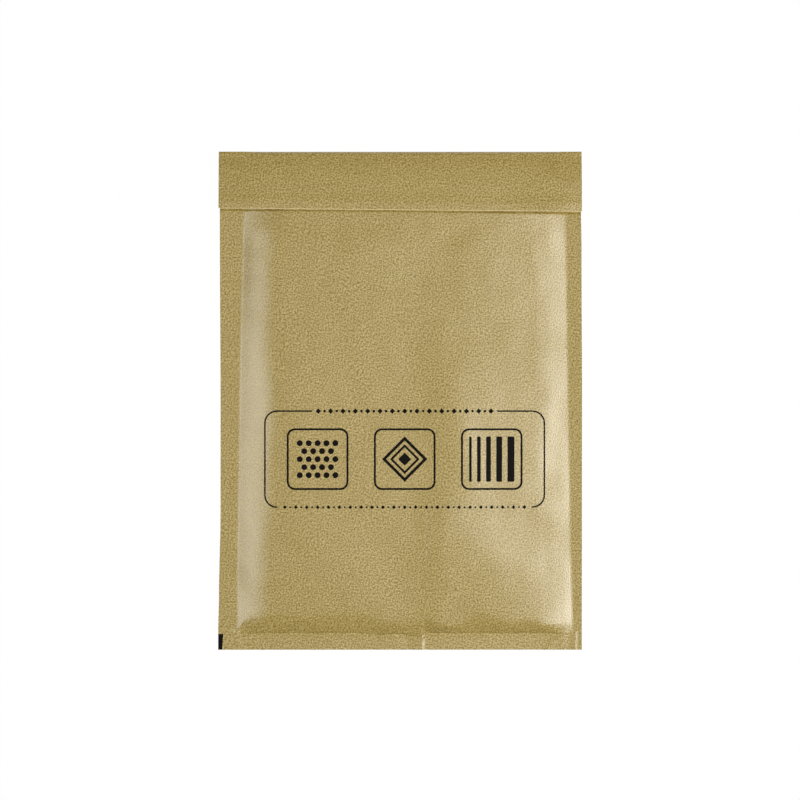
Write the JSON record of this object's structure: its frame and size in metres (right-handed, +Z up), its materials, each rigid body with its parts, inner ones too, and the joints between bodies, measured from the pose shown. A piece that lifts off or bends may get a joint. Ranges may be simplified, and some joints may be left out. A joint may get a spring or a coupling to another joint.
{
  "type": "padded envelope",
  "caption": "Flat kraft paper envelope padded with a pouch of bubble film, with its self-seal flap folded shut over the front.",
  "frame": {"origin": "on the table under the middle of the envelope, which lies on its back", "axes": "+X across the envelope, +Y along it towards the flap's fold, +Z up out of its front"},
  "size_m": [0.2, 0.275, 0.0084],
  "materials": {
    "kraft_paper": "brown kraft with a slight sheen",
    "bubble_film": "clear polythene, milky where layers stack",
    "adhesive": "pale amber pressure-sensitive adhesive",
    "release_paper": "white silicone-coated paper"
  },
  "bodies": {
    "root": {"kraft_cover": "kraft_paper", "bubble_liner": "bubble_film", "adhesive_strip": "adhesive", "release_strip": "release_paper"}
  },
  "joints": []
}
